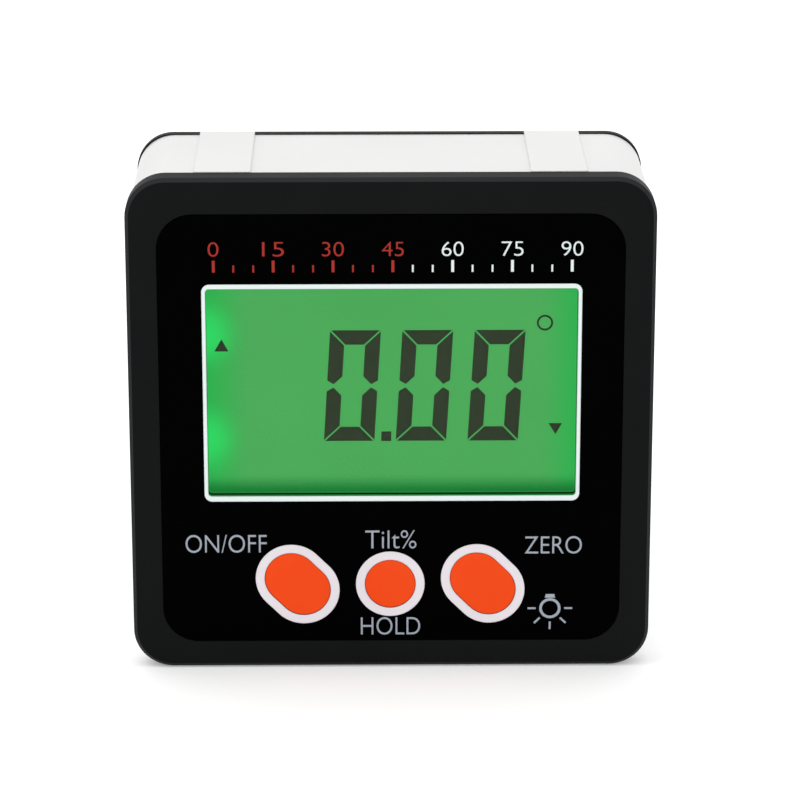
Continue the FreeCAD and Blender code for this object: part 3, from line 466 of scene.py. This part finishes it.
ink_red = ink("ink_red", (0.36, 0.02, 0.012), (0.44, 0.026, 0.016))
ticks = tick_row()
for ink_name, scale_ink, first, last in (("red", ink_red, 0, LAST_RED),
                                         ("white", ink_white, LAST_RED + 1, SCALE_STEPS)):
    grown(f"scale_ticks_{ink_name}", ticks, {
        "Ticks": last - first + 1,
        "First": first,
        "Long Every": LONG_EVERY,
        "Start": at(SCALE_LEFT + TICK_PITCH * first, PRINT_DEPTH, TICK_FOOT),
        "Step": (TICK_PITCH * mm, 0, 0),
        "Short": (SHORT_WIDTH * mm, print_thickness, SHORT_HEIGHT * mm),
        "Long": (LONG_WIDTH * mm, print_thickness, LONG_HEIGHT * mm),
        "Material": scale_ink,
    }, "housing")
    for step in range(first, last + 1):
        if step % LONG_EVERY == 0:
            figure = str(step * STEP_DEGREES)
            across = SCALE_LEFT + TICK_PITCH * step
            half = FIGURE_HALF_WIDTH * len(figure)
            lettering(f"scale_{figure}", figure, across - half, across + half, FIGURE_LOW, FIGURE_HIGH,
                      scale_ink)

# Lamp sign: a lamp printed in grey ink beside the right key, for the display's light.
# It is a round bulb with a foot above it and five rays fanned out below.

LAMP_ACROSS, LAMP_RISE = 18.4, -22.18
CIRCLE_STEPS = 40
BULB_RADIUS, BULB_LINE = 1.25, 0.33
RAYS = 5
RAY_TURN = math.radians(45)
RAY_GAP = 1.65
RAY_LENGTH, RAY_WIDTH = 0.95, 0.24
FOOT_LOW, FOOT_HIGH = LAMP_RISE + 1.28, LAMP_RISE + 1.76
FOOT_LOW_HALF, FOOT_HIGH_HALF = 0.62, 0.5


def circle(across, rise, radius):
    """A round outline."""
    return arc_loop([(across, rise)], radius, 0, CIRCLE_STEPS)


def ray_fan():
    """Rays turned one after another about a middle, each standing off it by the same gap."""
    sizes = (("Rays", "Int"), ("Turn", "Float"), ("Middle", "Vector"), ("Gap", "Float"), ("Ray", "Vector"),
             ("Material", "Material"))
    tree, start, end = new_tree("ray_fan", sizes)
    line = add(tree, "GeometryNodeMeshLine", Offset=(0, 0, 0))
    sized = tree.nodes.new("GeometryNodeTransform")
    gap = tree.nodes.new("ShaderNodeCombineXYZ")
    number = tree.nodes.new("GeometryNodeInputIndex")
    turn = tree.nodes.new("ShaderNodeCombineXYZ")
    fan = tree.nodes.new("GeometryNodeInstanceOnPoints")
    turned = reckon(tree, "MULTIPLY", number.outputs[0], start.outputs["Turn"])
    tree.links.new(start.outputs["Rays"], line.inputs["Count"])
    tree.links.new(start.outputs["Middle"], line.inputs["Start Location"])
    tree.links.new(start.outputs["Gap"], gap.inputs["X"])
    tree.links.new(unit_bar(tree, (0.5, 0, 0)), sized.inputs["Geometry"])
    tree.links.new(gap.outputs[0], sized.inputs["Translation"])
    tree.links.new(start.outputs["Ray"], sized.inputs["Scale"])
    tree.links.new(turned, turn.inputs["Y"])
    tree.links.new(line.outputs[0], fan.inputs["Points"])
    tree.links.new(sized.outputs[0], fan.inputs["Instance"])
    tree.links.new(turn.outputs[0], fan.inputs["Rotation"])
    close_tree(tree, start, end, fan.outputs[0])
    return tree


bulb_outer = circle(LAMP_ACROSS, LAMP_RISE, BULB_RADIUS)
bulb_inner = circle(LAMP_ACROSS, LAMP_RISE, BULB_RADIUS - BULB_LINE)
printed("lamp_sign_ring", bulb_outer, ink_grey, bulb_inner)
grown("lamp_sign_rays", ray_fan(), {
    "Rays": RAYS,
    "Turn": RAY_TURN,
    "Middle": at(LAMP_ACROSS, PRINT_DEPTH, LAMP_RISE),
    "Gap": RAY_GAP * mm,
    "Ray": (RAY_LENGTH * mm, print_thickness, RAY_WIDTH * mm),
    "Material": ink_grey,
}, "housing")
lamp_foot = [(LAMP_ACROSS - FOOT_LOW_HALF, FOOT_LOW), (LAMP_ACROSS + FOOT_LOW_HALF, FOOT_LOW),
             (LAMP_ACROSS + FOOT_HIGH_HALF, FOOT_HIGH), (LAMP_ACROSS - FOOT_HIGH_HALF, FOOT_HIGH)]
printed("lamp_sign_foot", lamp_foot, ink_grey)

# Keys: orange moulded caps with soft edges and a shallow crown, flush with the panel at rest.
# Behind the panel each cap spreads into a lip, which the panel traps, and it pushes a plunger
# through the rubber mat to a switch on the board.

KEY_LIP = 0.7
LIP_FRONT, LIP_REAR = 0.65, 1.35
# The crown and the wall, from the middle out and back: how far in from the cap's edge, and how deep.
CROWN = ((0.6, 0.1), (0.13, 0.105), (0.05, 0.125), (0.0, 0.18))
LIP = ((0.0, LIP_FRONT), (-KEY_LIP, LIP_FRONT), (-KEY_LIP, LIP_REAR))


def stepped(rows):
    """A closed piece through outlines of equal count, each with its own depth, from front to rear."""
    mesh = bmesh.new()
    rings = [[mesh.verts.new(at(across, depth, rise)) for across, rise in loop] for loop, depth in rows]
    for ring, next_ring in zip(rings, rings[1:]):
        for number in range(len(ring)):
            after = (number + 1) % len(ring)
            mesh.faces.new((ring[number], ring[after], next_ring[after], next_ring[number]))
    mesh.faces.new(rings[0][::-1])
    mesh.faces.new(rings[-1])
    bmesh.ops.recalc_face_normals(mesh, faces=mesh.faces)
    return mesh


key_orange = finish_material("key_orange", (0.89, 0.060, 0.004), (0.97, 0.076, 0.006), 0.36, specular=0.12,
                             grain=0.06, edge=0.0001)
for key in key_middle:
    cap_rows = [(key_outline(key, -inset), depth) for inset, depth in CROWN + LIP]
    cap = finished(f"{key}_cap_top", stepped(cap_rows), key_orange, f"{key}_key")
    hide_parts(f"{key}_key_cap")

# Window: a clear moulded block over the display, whose flange the panel traps from in front.
# Its broad faces are nearly unseen, with a faint gloss. Its edges carry a painted glow, the display's green
# light painted in as emission.

WINDOW_FRONT, WINDOW_REAR = 0.1, 1.76
FLANGE_FRONT, FLANGE_REAR = 0.62, 1.18
WINDOW_LEAST, WINDOW_MOST = 0.015, 0.025
EDGE_SLOT = 1
STEEP = 0.5
window_clear = finish_material("window_clear", (0.003, 0.004, 0.003), (0.005, 0.006, 0.005), 0.03,
                               specular=0.5, grain=0.01)
window_tree = window_clear.node_tree
window_mask = window_tree.nodes["fine surface"].outputs["Mask"]
window_share = ramp(window_tree, window_mask, 0.0, 1.0, WINDOW_LEAST, WINDOW_MOST)
window_tree.links.new(window_share, window_tree.nodes["Principled BSDF"].inputs["Alpha"])
# Painted reflection: the block's steep faces glow green by emission, standing in for the display's light
# seen in them.
window_edge_glow = finish_material("window_edge_glow", (0.004, 0.02, 0.006), (0.006, 0.03, 0.009), 0.3, specular=0.05)
edge_glow_shader = window_edge_glow.node_tree.nodes["Principled BSDF"]
edge_glow_shader.inputs["Emission Color"].default_value = (0.014, 0.19, 0.036, 1)
edge_glow_shader.inputs["Emission Strength"].default_value = 1.0
pane = rounded_loop(left=-20.975, right=21.155, low=-8.3, high=16.38, radius=0.4)
flange = rounded_loop(left=-22.1, right=22.3, low=-9.4, high=17.5, radius=0.2)
window_block = stepped([(pane, WINDOW_FRONT), (pane, FLANGE_FRONT), (flange, FLANGE_FRONT),
                        (flange, FLANGE_REAR), (pane, FLANGE_REAR), (pane, WINDOW_REAR)])
for face in window_block.faces:
    if abs(face.normal.y) < STEEP:
        face.material_index = EDGE_SLOT
window_piece = finished("window_block", window_block, window_clear, "housing")
window_piece.data.materials.append(window_edge_glow)
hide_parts("display_window")

# Display: a liquid crystal between two glasses, lit green from behind and held by the holder.
# Two lamps at its left edge show as brighter spots, its sides are deeper green, and its lower edge
# fades to dark green, a painted shade from the window's lower ledge.

LCD_GREEN = (0.074, 0.412, 0.102)
LCD_SIDE = (0.028, 0.45, 0.08)
LCD_GLOW = (0.028, 0.72, 0.130)
LCD_LEDGE_SHADE = (0.008, 0.208, 0.034)
CLOUD_LOW = (0.93, 0.95, 0.93)
CLOUD_HIGH = (1.08, 1.06, 1.08)
CLOUD_SCALE = 60.0
GLOW_RISES = (10.6, -1.9)
GLOW_ACROSS = -21.6
GLOW_DEPTH = 1.8
GLOW_REACH = 5.6
LOWER_START, LOWER_END = at(0, 0, -6.0).z, at(0, 0, -8.4).z
LEFT_START, LEFT_END = at(-15.5, 0, 0).x, at(-21.2, 0, 0).x
RIGHT_START, RIGHT_END = at(16.5, 0, 0).x, at(21.8, 0, 0).x


def shaded(colour, shares):
    """A colour with each part changed by its own share."""
    return tuple(part * share for part, share in zip(colour, shares))


lcd_green, lcd_tree, lcd_shader = new_material("lcd_green")
lcd_place = lcd_tree.nodes.new("ShaderNodeTexCoord").outputs["Object"]
glows = []
for rise in GLOW_RISES:
    away = lcd_tree.nodes.new("ShaderNodeVectorMath")
    away.operation = "DISTANCE"
    away.inputs[1].default_value = at(GLOW_ACROSS, GLOW_DEPTH, rise)
    lcd_tree.links.new(lcd_place, away.inputs[0])
    glows.append(ramp(lcd_tree, away.outputs["Value"], 0.0, GLOW_REACH * mm, 1.0, 0.0, "SMOOTHERSTEP"))
glow = reckon(lcd_tree, "MAXIMUM", *glows)
lcd_split = lcd_tree.nodes.new("ShaderNodeSeparateXYZ")
lcd_tree.links.new(lcd_place, lcd_split.inputs[0])
# Painted shade: the display darkens towards its lower edge, where the window's ledge shades it.
lower_ledge_shade = ramp(lcd_tree, lcd_split.outputs["Z"], LOWER_START, LOWER_END, easing="SMOOTHSTEP")
left_fade = ramp(lcd_tree, lcd_split.outputs["X"], LEFT_START, LEFT_END, easing="SMOOTHSTEP")
right_fade = ramp(lcd_tree, lcd_split.outputs["X"], RIGHT_START, RIGHT_END, easing="SMOOTHSTEP")
cloud = add(lcd_tree, "ShaderNodeTexNoise", Scale=CLOUD_SCALE, Detail=2.0)
lcd_tree.links.new(lcd_place, cloud.inputs["Vector"])
lcd_colour = colour_mix(lcd_tree, cloud.outputs[0], shaded(LCD_GREEN, CLOUD_LOW),
                        shaded(LCD_GREEN, CLOUD_HIGH))
for mask, colour in ((left_fade, LCD_SIDE), (right_fade, LCD_SIDE), (glow, LCD_GLOW),
                     (lower_ledge_shade, LCD_LEDGE_SHADE)):
    lcd_colour = colour_mix(lcd_tree, mask, lcd_colour, colour)
lcd_tree.links.new(lcd_colour, lcd_shader.inputs["Emission Color"])
lcd_shader.inputs["Emission Strength"].default_value = 0.975
lcd_shader.inputs["Base Color"].default_value = (0.004, 0.012, 0.005, 1)
lcd_shader.inputs["Roughness"].default_value = 0.3
lcd_shader.inputs["Specular IOR Level"].default_value = 0.02
dress(["lcd_front_glass", "lcd_rear_glass"], lcd_green)

# Figures on the display: dark parts of the liquid crystal, as a thin layer on the front glass.
# They are three slanted seven-bar figures that read 0.00, a point, two arrows and a degree ring.

INK_FRONT, INK_REAR = 1.765, 1.79
DIGITS = 3
DIGIT_HEIGHT, DIGIT_WIDTH = 13.23, 5.78
DIGIT_LOW, DIGIT_LEFT = -2.2, -7.7
DIGIT_PITCH = 8.23
# How far across a digit leans for each millimetre up.
SLANT = 0.78 / 13.27
BAR = 1.7
BAR_GAP = 0.13
WAIST = DIGIT_HEIGHT / 2
TIP_OUTER, TIP_POINT, TIP_INNER = WAIST + 0.65, WAIST + 0.2, WAIST + 1.15
TIP_ACROSS = 0.75
DEGREE_ACROSS, DEGREE_RISE = 17.5, 11.87
DEGREE_OUTER, DEGREE_INNER = 0.93, 0.70
top_bar = [(BAR_GAP, DIGIT_HEIGHT), (DIGIT_WIDTH - BAR_GAP, DIGIT_HEIGHT),
           (DIGIT_WIDTH - BAR - BAR_GAP, DIGIT_HEIGHT - BAR), (BAR + BAR_GAP, DIGIT_HEIGHT - BAR)]
upper_bar = [(0, DIGIT_HEIGHT - BAR_GAP), (0, TIP_OUTER), (TIP_ACROSS, TIP_POINT), (BAR, TIP_INNER),
             (BAR, DIGIT_HEIGHT - BAR - BAR_GAP)]
point = [(-1.12, -2.23), (0.02, -2.23), (0.02, -1.08), (-1.12, -1.08)]
up_arrow = [(-20.1, 8.57), (-18.5, 8.57), (-19.28, 10.0)]
down_arrow = [(18.04, -0.14), (18.86, -1.47), (19.6, -0.14)]


def flipped(bar, sideways, upside_down):
    """A bar's outline turned over to the digit's other side, its other end, or both."""
    return [(DIGIT_WIDTH - across if sideways else across, DIGIT_HEIGHT - rise if upside_down else rise)
            for across, rise in bar]


digit_bars = [flipped(top_bar, False, upside_down) for upside_down in (False, True)]
for sideways in (False, True):
    for upside_down in (False, True):
        digit_bars.append(flipped(upper_bar, sideways, upside_down))
figures = []
for digit in range(DIGITS):
    left = DIGIT_LEFT + DIGIT_PITCH * digit
    for bar in digit_bars:
        figures.append([(left + across + rise * SLANT, DIGIT_LOW + rise) for across, rise in bar])
figures += [point, up_arrow, down_arrow]
lcd_ink = finish_material("lcd_ink", (0.029, 0.043, 0.024), (0.038, 0.055, 0.031), 0.6, specular=0.03,
                          grain=0.02)
finished("lcd_figures", solid_from(figures, INK_FRONT, INK_REAR), lcd_ink, "housing")
degree_ring = solid_from([circle(DEGREE_ACROSS, DEGREE_RISE, DEGREE_OUTER)], INK_FRONT, INK_REAR,
                         circle(DEGREE_ACROSS, DEGREE_RISE, DEGREE_INNER))
finished("lcd_degree", degree_ring, lcd_ink, "housing")

# Seals and rubber parts: the mat under the keys, the gaskets in their grooves, and the strip that
# joins the display to the board. All are dull black moulded rubber, held by being pressed.

seal_black = finish_material("seal_black", (0.012, 0.012, 0.012), (0.02, 0.02, 0.02), 0.75, grain=0.3)
dress(["keypad_mat", "front_gasket", "back_gasket", "battery_door_gasket", "zebra_strip"], seal_black)

# Bare metal parts: the screws, the bent battery contacts, the crystal's can and the sensor's can.
# All are plated steel, screwed down, slotted into the cover or soldered to the board.

screw_steel = finish_material("screw_steel", (0.27, 0.27, 0.28), (0.38, 0.38, 0.39), 0.3, metallic=1.0)
dress(["case_screws", "battery_door_screws", "board_screws", "positive_contact", "negative_contact",
       "bridge_contact", "crystal_can", "angle_sensor"], screw_steel)

# Circuit boards: green varnished glass fibre, the main one held down by its screws and a thin
# strip that carries the display's lamps.

board_green = finish_material("board_green", (0.006, 0.075, 0.028), (0.01, 0.11, 0.04), 0.35)
dress(["main_board", "backlight_strip"], board_green)

# Display holder and light guide: white moulded plastic that carries the glasses and spreads the
# light of the small lamps at the strip.

holder_white = finish_material("holder_white", (0.74, 0.74, 0.71), (0.8, 0.8, 0.77), 0.5)
dress(["lcd_holder", "backlight_leds", "light_guide"], holder_white)

# Key works and the controller: black nylon plungers and switches under each key, and the black
# moulded chip on the board.

nylon_black = finish_material("nylon_black", (0.012, 0.012, 0.013), (0.02, 0.02, 0.021), 0.5)
key_works = [name for name in nodes if name.endswith(("_plunger", "_stem", "_switch"))]
dress(key_works + ["controller_chip"], nylon_black)

# Capacitors: small tan ceramic blocks, soldered to the board.
# Each is left a plain block, because it is smaller than a grain of rice.

chip_tan = finish_material("chip_tan", (0.32, 0.2, 0.11), (0.4, 0.26, 0.15), 0.5)
dress(["chip_capacitors"], chip_tan)

# Cells: two AAA cells, each a steel can in a printed sleeve with a gold band at its nub's end.
# The sleeve is shrunk over both rims, and the nub and the flat end stay bare steel. The contacts
# press on both ends and hold the cells in their troughs.

CELL_STEPS = 72
NUB_RADIUS = 1.9
NUB_LENGTH = 1.0
NUB_EDGE = 0.25
BAND_LENGTH = 12.0
RIM = 0.35
SLEEVE_LAP = 0.9
SHOULDER_IN, SHOULDER_SINK = 1.3, 0.05
END_IN, END_SINK = 1.1, 0.1
SLEEVE, BAND, STEEL = 0, 1, 2
sleeve_blue = finish_material("sleeve_blue", (0.012, 0.028, 0.07), (0.02, 0.04, 0.095), 0.25, coat=0.4)
sleeve_gold = finish_material("sleeve_gold", (0.50, 0.27, 0.05), (0.60, 0.34, 0.08), 0.28, metallic=0.7,
                              coat=0.4)
can_steel = finish_material("can_steel", (0.52, 0.52, 0.51), (0.64, 0.64, 0.62), 0.24, metallic=1.0)


def cell_profile(radius, length):
    """Half of a cell's section from its nub's middle: along the cell, out from its axis, and its finish."""
    return ((0.0, 0.0, STEEL), (0.0, NUB_RADIUS - NUB_EDGE, STEEL), (NUB_EDGE, NUB_RADIUS, STEEL),
            (NUB_LENGTH, NUB_RADIUS, STEEL), (NUB_LENGTH + SHOULDER_SINK, radius - SHOULDER_IN, STEEL),
            (NUB_LENGTH, radius - SLEEVE_LAP, BAND), (NUB_LENGTH, radius - RIM, BAND),
            (NUB_LENGTH + RIM, radius, BAND), (BAND_LENGTH, radius, SLEEVE), (length - RIM, radius, SLEEVE),
            (length, radius - RIM, SLEEVE), (length, radius - SLEEVE_LAP, STEEL),
            (length - END_SINK, radius - END_IN, STEEL), (length - END_SINK, 0.0, STEEL))


def turned_on_x(profile, tip, facing):
    """A closed solid of revolution about a line along x, from its tip towards facing."""
    tip_x, axis_y, axis_z = tip
    mesh = bmesh.new()
    rows = []
    for ring in profile:
        along, out = ring[:2]
        row = []
        for step in range(CELL_STEPS if out > 0 else 1):
            angle = 2 * math.pi * step / CELL_STEPS
            row.append(mesh.verts.new((tip_x + facing * along * mm, axis_y + out * mm * math.sin(angle),
                                       axis_z + out * mm * math.cos(angle))))
        rows.append(row)
    for number, (row, after_row) in enumerate(zip(rows, rows[1:])):
        for step in range(CELL_STEPS):
            after = (step + 1) % CELL_STEPS
            if len(row) == 1:
                corners = (row[0], after_row[step], after_row[after])
            elif len(after_row) == 1:
                corners = (row[step], after_row[0], row[after])
            else:
                corners = (row[step], after_row[step], after_row[after], row[after])
            face = mesh.faces.new(corners)
            face.material_index = profile[number][2]
            face.smooth = number > 0 and profile[number][1] == profile[number + 1][1]
    bmesh.ops.recalc_face_normals(mesh, faces=mesh.faces)
    return mesh


for cell_name, facing in (("battery_upper", 1), ("battery_lower", -1)):
    low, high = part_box(cell_name)
    tip = (low.x if facing > 0 else high.x, (low.y + high.y) / 2, (low.z + high.z) / 2)
    profile = cell_profile((high.z - low.z) / 2 / mm, (high.x - low.x) / mm)
    cell = finished(f"{cell_name}_can", turned_on_x(profile, tip, facing), sleeve_blue, "housing")
    cell.data.materials.append(sleeve_gold)
    cell.data.materials.append(can_steel)
    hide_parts(cell_name)

# White surroundings: a wide matt white floor just under the pads, a plain white sky, and one
# broad soft lamp above. The floor is lifted a little for the camera alone, so that it meets the
# sky without an edge.

FLOOR_GAP = -0.02 * mm
FLOOR_REACH = 4.0
FLOOR_SQUARES = 8
FLOOR_LIFT = 0.2
LAMP_PLACE = Vector((-0.15, 0.05, 0.9))
LAMP_WIDTH, LAMP_LENGTH = 0.9, 0.7
LAMP_WATTS = 2.0
floor_mesh = bmesh.new()
bmesh.ops.create_grid(floor_mesh, x_segments=FLOOR_SQUARES, y_segments=FLOOR_SQUARES, size=FLOOR_REACH)
bmesh.ops.translate(floor_mesh, verts=floor_mesh.verts, vec=(0, 0, FLOOR_GAP))
floor_data = bpy.data.meshes.new("floor")
floor_mesh.to_mesh(floor_data)
floor_mesh.free()
floor = bpy.data.objects.new("floor", floor_data)
bpy.context.scene.collection.objects.link(floor)
floor_white, floor_tree, floor_shader = new_material("floor_white")
floor_path = floor_tree.nodes.new("ShaderNodeLightPath")
floor_light = reckon(floor_tree, "MULTIPLY", floor_path.outputs["Is Camera Ray"], FLOOR_LIFT)
floor_tree.links.new(floor_light, floor_shader.inputs["Emission Strength"])
floor_shader.inputs["Emission Color"].default_value = (1, 1, 1, 1)
floor_shader.inputs["Base Color"].default_value = (0.93, 0.93, 0.93, 1)
floor_shader.inputs["Roughness"].default_value = 0.9
floor_shader.inputs["Specular IOR Level"].default_value = 0.0
floor_data.materials.append(floor_white)

world = bpy.data.worlds.new("white")
bpy.context.scene.world = world
world.use_nodes = True
sky = world.node_tree.nodes["Background"]
sky.inputs["Color"].default_value = (1, 1, 1, 1)
sky.inputs["Strength"].default_value = 1.0
lamp_data = bpy.data.lights.new("overhead", "AREA")
lamp_data.shape = "RECTANGLE"
lamp_data.size = LAMP_WIDTH
lamp_data.size_y = LAMP_LENGTH
lamp_data.energy = LAMP_WATTS
overhead = bpy.data.objects.new("overhead", lamp_data)
overhead.location = LAMP_PLACE
overhead.rotation_euler = (-LAMP_PLACE).to_track_quat("-Z", "Y").to_euler()
bpy.context.scene.collection.objects.link(overhead)

# Camera: a long lens a little above the gauge and almost square on.
# Its place and lens come from fitting the outlines of the bezel, the panel and the rear rim.

CAMERA_AZIMUTH = math.radians(-0.61)
CAMERA_ELEVATION = math.radians(17.7)
CAMERA_DISTANCE = 411.1 * mm
CAMERA_LENS = 162.5
CAMERA_TARGET = at(1.004, 0, 3.268)
towards_camera = Vector((math.sin(CAMERA_AZIMUTH) * math.cos(CAMERA_ELEVATION),
                         -math.cos(CAMERA_AZIMUTH) * math.cos(CAMERA_ELEVATION), math.sin(CAMERA_ELEVATION)))
camera_data = bpy.data.cameras.new("camera")
camera_data.lens = CAMERA_LENS
camera_data.sensor_width = 36.0
camera_data.clip_start = 0.01
camera = bpy.data.objects.new("camera", camera_data)
camera.location = CAMERA_TARGET + towards_camera * CAMERA_DISTANCE
camera.rotation_euler = (-towards_camera).to_track_quat("-Z", "Y").to_euler()
bpy.context.scene.collection.objects.link(camera)
bpy.context.scene.camera = camera
bpy.context.scene.view_settings.view_transform = "Standard"
